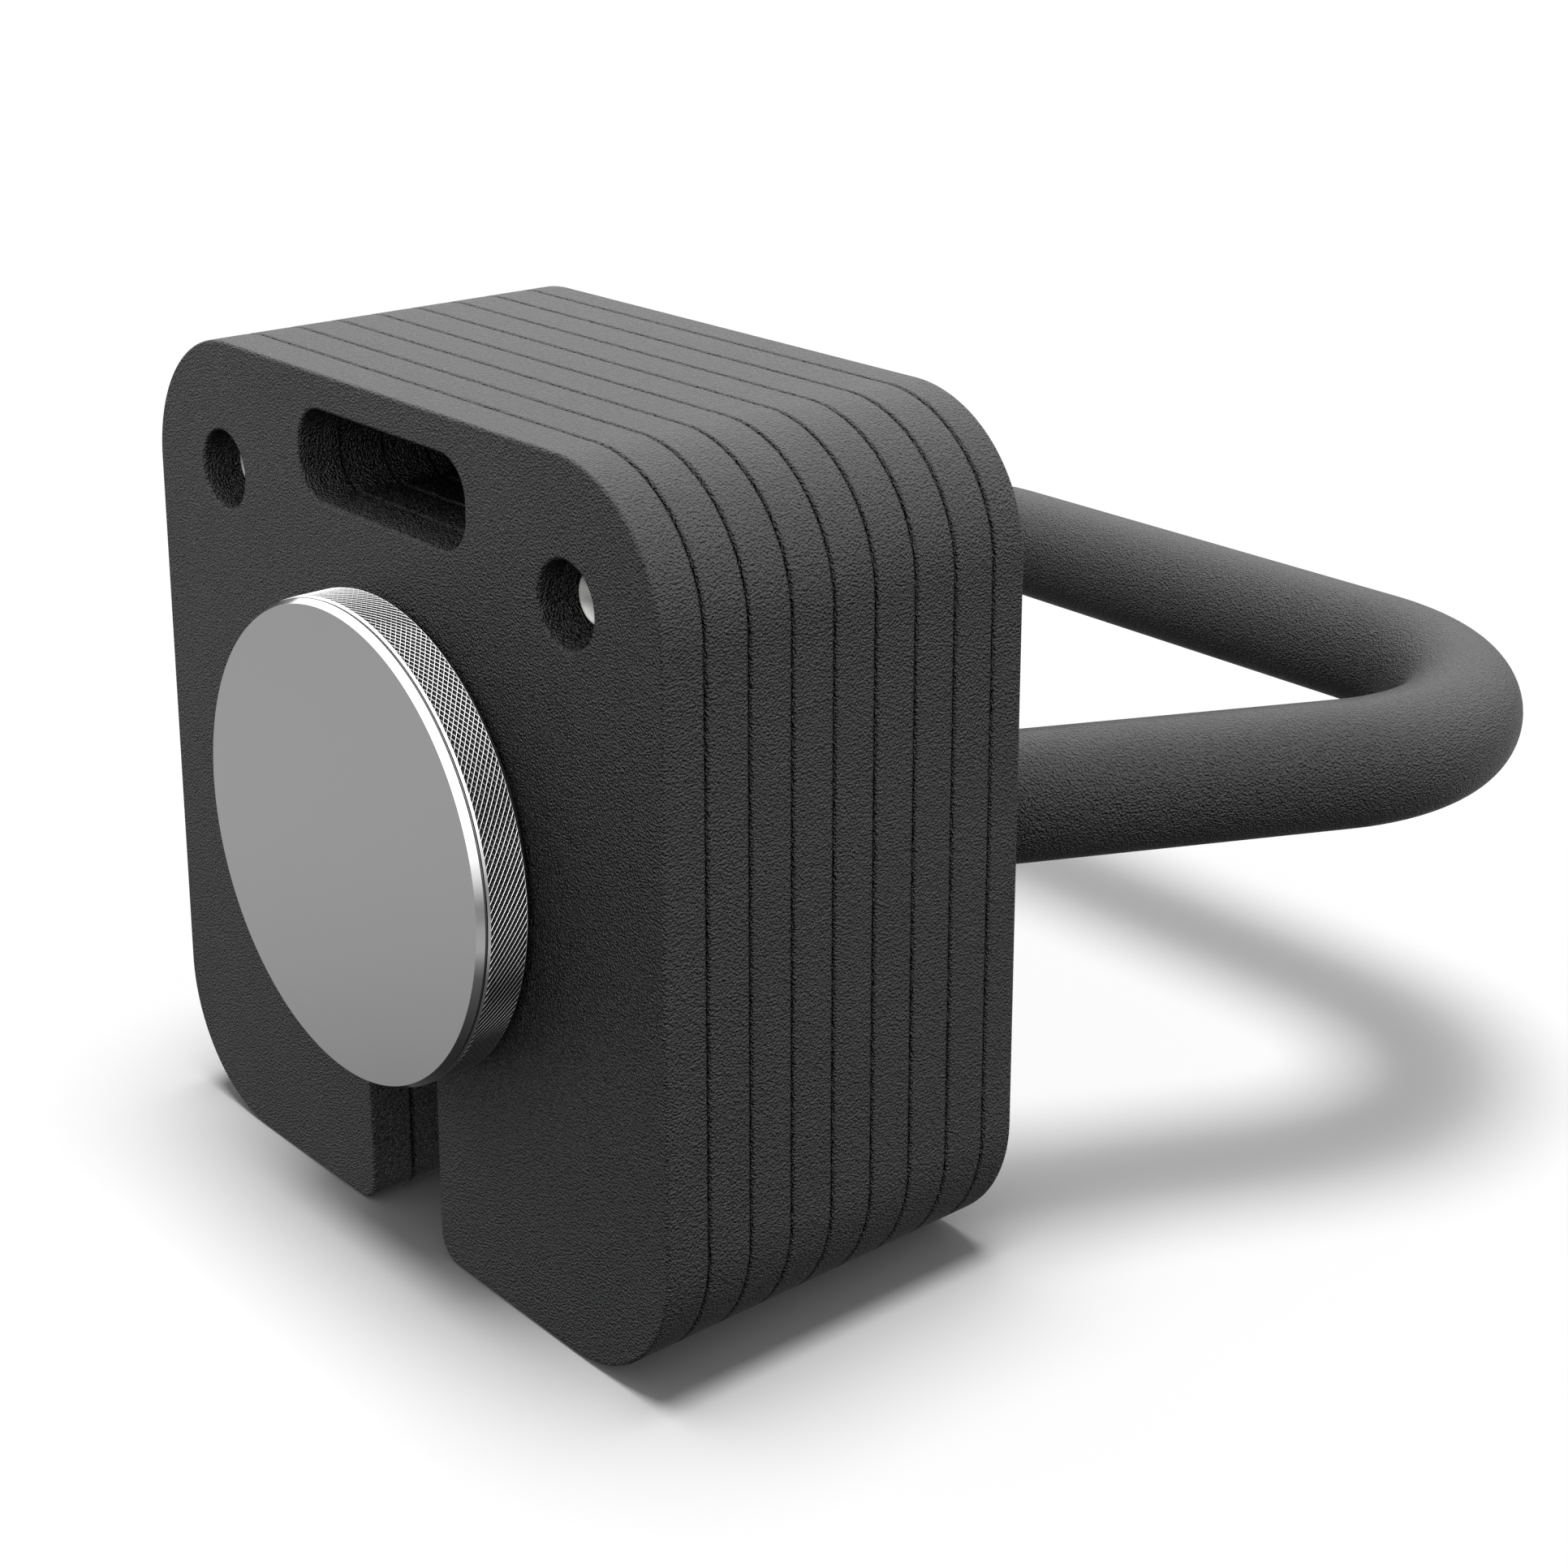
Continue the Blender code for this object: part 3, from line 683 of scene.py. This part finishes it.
def handle_path():
    """Centre line of the right half of the bar: points with the direction of travel at each."""
    along = leg_direction()
    grip_y = grip_line_y()
    foot = Vector((LEG_FOOT_X, BASE_BACK_Y, AXIS_Z))
    corner = Vector((LEG_CORNER_X, grip_y, AXIS_Z))
    turn = math.atan2(along.y, along.x)
    setback = BEND_RADIUS * math.tan((math.pi - turn) / 2)
    bend_start = corner - along * setback
    middle = Vector((corner.x - setback, grip_y - BEND_RADIUS, AXIS_Z))
    path = []
    for step in range(LEG_STEPS):
        path.append((foot.lerp(bend_start, step / LEG_STEPS), along))
    first = turn - math.pi / 2
    for step in range(BEND_STEPS + 1):
        angle = first + (math.pi / 2 - first) * step / BEND_STEPS
        spoke = Vector((math.cos(angle), math.sin(angle), 0.0))
        path.append((middle + BEND_RADIUS * spoke, Vector((-spoke.y, spoke.x, 0.0))))
    return path


def make_handle():
    """A round bar bent to a loop, with both feet flush on the base plate."""
    foot_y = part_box("handle")[0].y
    radius = bar_radius()
    right = handle_path()
    grip_x = right[-1][0].x
    grip = []
    for step in range(1, GRIP_STEPS):
        place = Vector((grip_x * (1 - 2 * step / GRIP_STEPS), grip_line_y(), AXIS_Z))
        grip.append((place, Vector((-1.0, 0.0, 0.0))))
    left = []
    for place, along in reversed(right):
        left.append((Vector((-place.x, place.y, place.z)), Vector((along.x, -along.y, 0.0))))
    path = right + grip + left
    edit = bmesh.new()
    rings = []
    for index, (place, along) in enumerate(path):
        sideways = Vector((along.y, -along.x, 0.0))
        verts = []
        for step in range(ROUND):
            angle = 2 * math.pi * step / ROUND
            spot = place + radius * (math.cos(angle) * sideways + math.sin(angle) * Vector((0, 0, 1)))
            if index in (0, len(path) - 1):
                spot += along * (foot_y - spot.y) / along.y
            verts.append(edit.verts.new(spot))
        rings.append(verts)
    skin(edit, rings)
    edit.faces.new(rings[0])
    edit.faces.new(rings[-1])
    add_piece("handle", closed_mesh("handle", edit), "frame", "powder_coat", POWDER_COAT)


def bead_ripple(angle, count):
    """How the weld's width swells and dips: overlapping scallops that lean one way."""
    phase = (angle * count / (2 * math.pi)) % 1.0
    return math.sqrt(max(0.0, 1.0 - (1.6 * phase - 0.6) ** 2)) - 0.6


def weld_mesh(name, axis, start_y, inner, width, height, ripples, lean=0.0):
    """A fillet bead round a foot: a quarter-round section whose surface carries ripples."""
    edit = bmesh.new()
    segments = ripples * 10
    section_steps = 8
    rings = []

    def spot(angle, out, up):
        edge = inner(angle) + out
        x = axis[0] + edge * math.cos(angle) / math.cos(math.atan(lean)) + lean * up
        return (x, start_y + up, axis[1] + edge * math.sin(angle))

    for section in range(section_steps + 1):
        turn = math.pi / 2 * section / section_steps
        verts = []
        for step in range(segments):
            angle = 2 * math.pi * step / segments
            swell = 1.0 + RIPPLE_SWELL * bead_ripple(angle + 0.02 * math.cos(turn), ripples)
            bulge = 0.86 + 0.10 * math.sin(2 * turn)
            out = width * bulge * math.cos(turn) * swell
            up = height * bulge * math.sin(turn) * swell
            verts.append(edit.verts.new(spot(angle, out, up)))
        rings.append(verts)
    under = []
    for step in range(segments):
        angle = 2 * math.pi * step / segments
        under.append(edit.verts.new(spot(angle, 0.0, 0.0)))
    skin(edit, rings + [under])
    bridge(edit, under, rings[0])
    return closed_mesh(name, edit)


def make_handle_welds():
    """A rippled bead round each foot of the handle."""
    direction = leg_direction()
    lean = direction.x / direction.y
    radius = bar_radius() + GAP
    for side, sign in (("left", -1), ("right", 1)):
        name = f"handle_weld_{side}"
        start_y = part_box(name)[0].y
        foot = (sign * (LEG_FOOT_X + lean * GAP), AXIS_Z)
        mesh = weld_mesh(
            name,
            foot,
            start_y,
            lambda angle: radius,
            WELD_WIDTH,
            WELD_HEIGHT,
            HANDLE_WELD_RIPPLES,
            sign * lean,
        )
        add_piece(name, mesh, "frame", "powder_coat", POWDER_COAT)


def make_spindle_nut():
    """A hexagon nut with chamfered corners, and the weld bead that holds it to the base plate."""
    low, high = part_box("spindle_nut")
    across_flats = high.z - low.z
    flats = hexagon(across_flats)
    bore = SCREW_RADIUS + GAP
    face_radius = NUT_FACE_SHARE * across_flats / 2
    slope = math.tan(math.radians(NUT_CHAMFER_SLOPE))

    def front_edge(angle):
        return low.y + (flats(angle) - face_radius) * slope

    def back_edge(angle):
        return high.y - (flats(angle) - face_radius) * slope

    profile = [
        (bore, low.y + NUT_COUNTERSINK),
        (bore + NUT_COUNTERSINK, low.y),
        (face_radius, low.y),
        (flats, front_edge),
        (flats, back_edge),
        (face_radius, high.y),
        (bore + NUT_COUNTERSINK, high.y),
        (bore, high.y - NUT_COUNTERSINK),
    ]
    edit = bmesh.new()
    rings = [ring(edit, KNOB_AXIS, radius, y, SMALL) for radius, y in profile]
    skin(edit, rings + rings[:1])
    add_piece("spindle_nut", closed_mesh("spindle_nut", edit), "frame", "zinc_steel", ZINC_STEEL)
    start_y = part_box("nut_weld")[0].y

    def foot_line(angle):
        return flats(angle) + GAP

    mesh = weld_mesh(
        "nut_weld", KNOB_AXIS, start_y, foot_line, NUT_WELD_SIZE, NUT_WELD_SIZE, NUT_WELD_RIPPLES
    )
    add_piece("nut_weld", mesh, "frame", "powder_coat", POWDER_COAT)


# ---------------------------------------------------------------- pins, screws and washer


def pin_nose(radius, nose_y):
    """The chamfered and slightly dished front end of a guide pin or a plug."""
    steps = 10
    dish = []
    for step in range(steps):
        share = step / steps
        dish.append((PIN_NOSE_RADIUS * share, nose_y + PIN_DISH_DEPTH * (1 - share * share), 0.0))
    nose_rim = (PIN_NOSE_RADIUS, nose_y, PIN_NOSE_ROUNDING)
    shoulder = (radius, nose_y + PIN_NOSE_LENGTH, EDGE_ROUNDING)
    return dish + [nose_rim, shoulder]


def make_guide_pins():
    """Two turned pins that end just behind the front plate, bored behind for their screws."""
    for side, sign in (("left", -1), ("right", 1)):
        name = f"guide_pin_{side}"
        low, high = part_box(name)
        radius = half_width(name)
        bore = SCREW_SHANK_RADIUS + GAP
        bore_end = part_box(f"pin_screw_{side}")[0].y - 2 * GAP
        back = [
            (radius, high.y, EDGE_ROUNDING),
            (bore, high.y, FINE_ROUNDING),
            (bore, bore_end, 0.0),
            (0.0, bore_end, 0.0),
        ]
        profile = rounded(pin_nose(radius, low.y) + back)
        mesh = lathe(name, (sign * PIN_X, PIN_Z), profile, SMALL)
        add_piece(name, mesh, "frame", "bright_steel", BRIGHT_STEEL)


def make_hole_plugs():
    """The short plugs in the front plate's holes, in line with the guide pins."""
    for side, sign in (("left", -1), ("right", 1)):
        name = f"hole_plug_{side}"
        low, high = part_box(name)
        radius = half_width(name)
        back = [(radius, high.y, EDGE_ROUNDING), (0.0, high.y, 0.0)]
        profile = rounded(pin_nose(radius, low.y) + back)
        mesh = lathe(name, (sign * PIN_X, PIN_Z), profile, SMALL)
        add_piece(name, mesh, "plate_1", "bright_steel", BRIGHT_STEEL)


def make_pin_screws():
    """Countersunk socket screws that hold the pins from behind."""
    for side, sign in (("left", -1), ("right", 1)):
        name = f"pin_screw_{side}"
        low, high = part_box(name)
        axis = (sign * PIN_X, PIN_Z)
        head = half_width(name)
        socket = hexagon(PIN_SOCKET_ACROSS)
        land_y = high.y - PIN_HEAD_LAND
        cone_end = land_y - (head - SCREW_SHANK_RADIUS)
        edit = bmesh.new()
        first, last = thread(
            edit, axis, low.y, cone_end, SCREW_SHANK_RADIUS, SCREW_SHANK_PITCH, SMALL_THREAD_CHAMFER, SMALL
        )
        tip = ring(edit, axis, 0.0, low.y, SMALL)
        bridge(edit, tip, first)
        rest = rounded(
            [(head, land_y, 0.0), (head, high.y, PIN_HEAD_ROUNDING), (PIN_SOCKET_RIM, high.y, 0.0)]
        )
        rings = [last, ring(edit, axis, SCREW_SHANK_RADIUS, cone_end, SMALL)]
        rings += [ring(edit, axis, radius, y, SMALL) for radius, y in rest]
        rings.append(ring(edit, axis, socket, high.y - PIN_SOCKET_CHAMFER, SMALL))
        rings.append(ring(edit, axis, socket, high.y - PIN_SOCKET_DEPTH, SMALL))
        rings.append(ring(edit, axis, 0.0, high.y - PIN_SOCKET_DEPTH - PIN_SOCKET_POINT, SMALL))
        skin(edit, rings)
        add_piece(name, closed_mesh(name, edit), "frame", "zinc_steel", ZINC_STEEL)


def make_thrust_washer():
    """The flat friction washer between the knob and the first plate."""
    low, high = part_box("thrust_washer")
    radius = half_width("thrust_washer")
    bore = SCREW_RADIUS + GAP
    corners = ((bore, low.y), (radius, low.y), (radius, high.y), (bore, high.y))
    profile = rounded([(out, y, EDGE_ROUNDING) for out, y in corners])
    mesh = lathe("thrust_washer", KNOB_AXIS, profile, FINE, closed=True)
    add_piece("thrust_washer", mesh, "thrust_washer", "black_polymer", POLYMER)


# ---------------------------------------------------------------- knob


def knurl(edit, start_y, end_y, radius):
    """Diamond knurl between two places along Y: thin sloped ridges that cross between pits, whose sloped
    faces take the second material, painted dark as the pits' shade.

    Returns its first and last rings.
    """
    columns = 2 * KNURL_ROUND
    rows = 2 * KNURL_ACROSS

    def place(row, column, out):
        angle = 2 * math.pi * column / columns
        y = start_y + (end_y - start_y) * row / rows
        return Vector((out * math.cos(angle), y, AXIS_Z + out * math.sin(angle)))

    grid = {}
    for row in range(rows + 1):
        for column in range(row % 2, columns, 2):
            grid[row, column] = edit.verts.new(place(row, column, radius))
    for row in range(rows + 1):
        for column in range(1 - row % 2, columns, 2):
            around = [(row, column - 1), (row + 1, column), (row, column + 1), (row - 1, column)]
            corners = [spot for spot in around if 0 <= spot[0] <= rows]
            middle_row = sum(spot[0] for spot in corners) / len(corners)
            sunk_middle = place(middle_row, column, radius - KNURL_RIDGE_HEIGHT / (1 - KNURL_PIT))
            pit = edit.verts.new(place(middle_row, column, radius - KNURL_DEPTH))
            outer = [grid[spot[0], spot[1] % columns] for spot in corners]
            inner = [edit.verts.new(vert.co.lerp(sunk_middle, 1 - KNURL_PIT)) for vert in outer]
            for index in range(len(outer)):
                after = (index + 1) % len(outer)
                edit.faces.new((outer[index], outer[after], inner[after], inner[index]))
                slope = edit.faces.new((inner[index], inner[after], pit))
                # The pit's sloped faces take material 1, which paints the pits' shade
                slope.material_index = 1
    first = [grid[0, column] for column in range(0, columns, 2)]
    last = [grid[rows, column] for column in range(0, columns, 2)]
    return first, last


def make_knob_body():
    """The knurled ring of the knob, recessed for its bolt in front and for the screw behind."""
    low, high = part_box("knob_body")
    radius = half_width("knob_body")
    edit = bmesh.new()
    first, last = knurl(edit, low.y + KNURL_CHAMFER, high.y - KNURL_CHAMFER, radius)
    hole = BOLT_SHANK_RADIUS + GAP
    head = half_width("knob_bolt") + GAP
    head_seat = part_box("knob_bolt")[0].y + BOLT_HEAD_HEIGHT + GAP
    seat = SCREW_RADIUS + GAP
    seat_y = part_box("spindle")[0].y - GAP
    inside = rounded(
        [
            (radius - KNURL_CHAMFER, high.y, 0.0),
            (seat, high.y, KNOB_BORE_ROUNDING),
            (seat, seat_y, 0.0),
            (hole, seat_y, 0.0),
            (hole, head_seat, 0.0),
            (head, head_seat, 0.0),
            (head, low.y, EDGE_ROUNDING),
            (radius - KNURL_CHAMFER, low.y, 0.0),
        ]
    )
    rings = [ring(edit, KNOB_AXIS, out, y, KNURL_ROUND) for out, y in inside]
    skin(edit, [last] + rings + [first])
    mesh = closed_mesh("knob_body", edit)
    # The second material paints the shade in the knurl's pits
    add_piece("knob_body", mesh, "knob", "chrome", POLISHED_METAL, PIT_PAINTED_SHADE)


def make_knob_cap():
    """The knob's plain satin face with a polished bevel round it."""
    low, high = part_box("knob_cap")
    radius = half_width("knob_cap")
    face_radius = radius - CAP_BEVEL_WIDTH
    profile = rounded(
        [
            (0.0, low.y, 0.0),
            (face_radius, low.y, CAP_FACE_ROUNDING),
            (radius, low.y + CAP_BEVEL_DEPTH, FINE_ROUNDING),
            (radius, high.y, FINE_ROUNDING),
            (0.0, high.y, 0.0),
        ]
    )
    mesh = lathe("knob_cap", KNOB_AXIS, profile, FINE)
    piece = add_piece("knob_cap", mesh, "knob", "chrome", POLISHED_METAL, SATIN_METAL)
    for face in piece.data.polygons:
        on_face = face.center.y < low.y + 0.00001
        face.material_index = 1 if on_face else 0


def make_knob_bolt():
    """The low-head bolt under the cap that holds the screw in the knob."""
    low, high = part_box("knob_bolt")
    head = half_width("knob_bolt")
    socket = hexagon(BOLT_SOCKET_ACROSS)
    seat_y = low.y + BOLT_HEAD_HEIGHT
    edit = bmesh.new()
    first, last = thread(
        edit, KNOB_AXIS, seat_y, high.y, BOLT_SHANK_RADIUS, BOLT_SHANK_PITCH, SMALL_THREAD_CHAMFER, SMALL
    )
    outside = rounded(
        [(BOLT_SOCKET_RIM, low.y, 0.0), (head, low.y, BOLT_HEAD_ROUNDING), (head, seat_y, FINE_ROUNDING)]
    )
    rings = [ring(edit, KNOB_AXIS, 0.0, low.y + BOLT_SOCKET_DEPTH + BOLT_SOCKET_POINT, SMALL)]
    rings.append(ring(edit, KNOB_AXIS, socket, low.y + BOLT_SOCKET_DEPTH, SMALL))
    rings.append(ring(edit, KNOB_AXIS, socket, low.y + BOLT_SOCKET_CHAMFER, SMALL))
    rings += [ring(edit, KNOB_AXIS, radius, y, SMALL) for radius, y in outside]
    rings.append(ring(edit, KNOB_AXIS, BOLT_SHANK_RADIUS, seat_y, SMALL))
    skin(edit, rings + [first])
    bridge(edit, last, ring(edit, KNOB_AXIS, 0.0, high.y, SMALL))
    add_piece("knob_bolt", closed_mesh("knob_bolt", edit), "knob", "zinc_steel", ZINC_STEEL)


def make_spindle():
    """The threaded clamping screw, bored in front for the knob's bolt."""
    low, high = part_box("spindle")
    edit = bmesh.new()
    plain_end = low.y + SPINDLE_PLAIN_LENGTH
    first, last = thread(
        edit, KNOB_AXIS, plain_end, high.y, SCREW_RADIUS, SCREW_PITCH, SPINDLE_THREAD_CHAMFER, SMALL
    )
    bore = BOLT_SHANK_RADIUS + GAP
    bore_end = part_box("knob_bolt")[1].y + 2 * GAP
    rings = [ring(edit, KNOB_AXIS, 0.0, bore_end, SMALL)]
    rings.append(ring(edit, KNOB_AXIS, bore, bore_end, SMALL))
    rings.append(ring(edit, KNOB_AXIS, bore, low.y, SMALL))
    rings.append(ring(edit, KNOB_AXIS, SCREW_RADIUS - SPINDLE_END_CHAMFER, low.y, SMALL))
    rings.append(ring(edit, KNOB_AXIS, SCREW_RADIUS, low.y + SPINDLE_END_CHAMFER, SMALL))
    rings.append(ring(edit, KNOB_AXIS, SCREW_RADIUS, plain_end, SMALL))
    skin(edit, rings + [first])
    bridge(edit, last, ring(edit, KNOB_AXIS, 0.0, high.y, SMALL))
    add_piece("spindle", closed_mesh("spindle", edit), "knob", "bright_steel", BRIGHT_STEEL)


# ---------------------------------------------------------------- studio


def make_camera():
    """The camera at the photograph's angle, with a small shift that frames the object."""
    data = bpy.data.cameras.new("camera")
    data.sensor_width = CAMERA_SENSOR
    data.lens = CAMERA_LENS
    data.shift_y = CAMERA_SHIFT_Y
    data.clip_start = 0.01
    camera = bpy.data.objects.new("camera", data)
    camera.location = CAMERA_PLACE
    camera.rotation_euler = (math.radians(90 - CAMERA_DIP), 0.0, math.radians(CAMERA_AZIMUTH))
    bpy.context.scene.collection.objects.link(camera)
    bpy.context.scene.camera = camera


def make_floor():
    """A plain white floor that takes the shadow but is not mirrored in the object."""
    edit = bmesh.new()
    bmesh.ops.create_grid(edit, x_segments=8, y_segments=8, size=FLOOR_HALF_WIDTH)
    mesh = bpy.data.meshes.new("floor")
    edit.to_mesh(mesh)
    edit.free()
    made, tree, shader = new_material("floor_white", (0.86, 0.86, 0.86), 0.0, 0.9)
    shader.inputs["Specular IOR Level"].default_value = 0.0
    mesh.materials.append(made)
    floor = bpy.data.objects.new("floor", mesh)
    floor.location.z = CAD_BOX[0].z - FLOOR_DROP
    floor.visible_glossy = False
    floor.visible_diffuse = False
    bpy.context.scene.collection.objects.link(floor)


def make_sun():
    """One broad soft light from straight above; the reflections come from the studio round it."""
    data = bpy.data.lights.new("overhead", "SUN")
    data.energy = SUN_STRENGTH
    data.angle = math.radians(SUN_BREADTH)
    light = bpy.data.objects.new("overhead", data)
    light.visible_glossy = False
    bpy.context.scene.collection.objects.link(light)


def grey_background(tree, stops, height):
    """A background whose grey follows the height of the direction, from -1 down to 1 up."""
    ramp = tree.nodes.new("ShaderNodeValToRGB")
    elements = ramp.color_ramp.elements
    while len(elements) < len(stops):
        elements.new(1.0)
    brightest = max(grey for _, grey in stops)
    for element, (up, grey) in zip(elements, stops):
        element.position = (up + 1) / 2
        element.color = (grey / brightest, grey / brightest, grey / brightest, 1.0)
    background = tree.nodes.new("ShaderNodeBackground")
    background.inputs["Strength"].default_value = brightest
    tree.links.new(height, ramp.inputs["Fac"])
    tree.links.new(ramp.outputs["Color"], background.inputs["Color"])
    return background.outputs["Background"]


def mixed(tree, choice, first, second):
    """The first shader where the choice is 0, and the second where it is 1."""
    mix = tree.nodes.new("ShaderNodeMixShader")
    tree.links.new(choice, mix.inputs[0])
    tree.links.new(first, mix.inputs[1])
    tree.links.new(second, mix.inputs[2])
    return mix.outputs["Shader"]


def make_world():
    """White behind the object, an even fill, and a studio to be mirrored, bright above and dark below."""
    world = bpy.data.worlds.new("studio")
    world.use_nodes = True
    tree = world.node_tree
    tree.nodes.clear()
    coords = tree.nodes.new("ShaderNodeTexCoord")
    upward = tree.nodes.new("ShaderNodeVectorMath")
    upward.operation = "DOT_PRODUCT"
    upward.inputs[1].default_value = (STUDIO_LEAN, 0.0, 1.0)
    height = tree.nodes.new("ShaderNodeMapRange")
    height.inputs["From Min"].default_value = -1.0
    tree.links.new(coords.outputs["Generated"], upward.inputs[0])
    tree.links.new(upward.outputs["Value"], height.inputs["Value"])
    path = tree.nodes.new("ShaderNodeLightPath")
    fill = grey_background(tree, FILL_LIGHT, height.outputs["Result"])
    mirrored = grey_background(tree, MIRRORED_STUDIO, height.outputs["Result"])
    white = grey_background(tree, ((-1.0, 1.0), (1.0, 1.0)), height.outputs["Result"])
    shown = mixed(tree, path.outputs["Is Glossy Ray"], fill, mirrored)
    shown = mixed(tree, path.outputs["Is Camera Ray"], shown, white)
    output = tree.nodes.new("ShaderNodeOutputWorld")
    tree.links.new(shown, output.inputs["Surface"])
    bpy.context.scene.world = world


make_camera()
make_plates()
make_base_plate()
make_handle()
make_handle_welds()
make_spindle_nut()
make_guide_pins()
make_hole_plugs()
make_pin_screws()
make_thrust_washer()
make_knob_body()
make_knob_cap()
make_knob_bolt()
make_spindle()
make_floor()
make_sun()
make_world()
bpy.context.scene.view_settings.view_transform = "Standard"
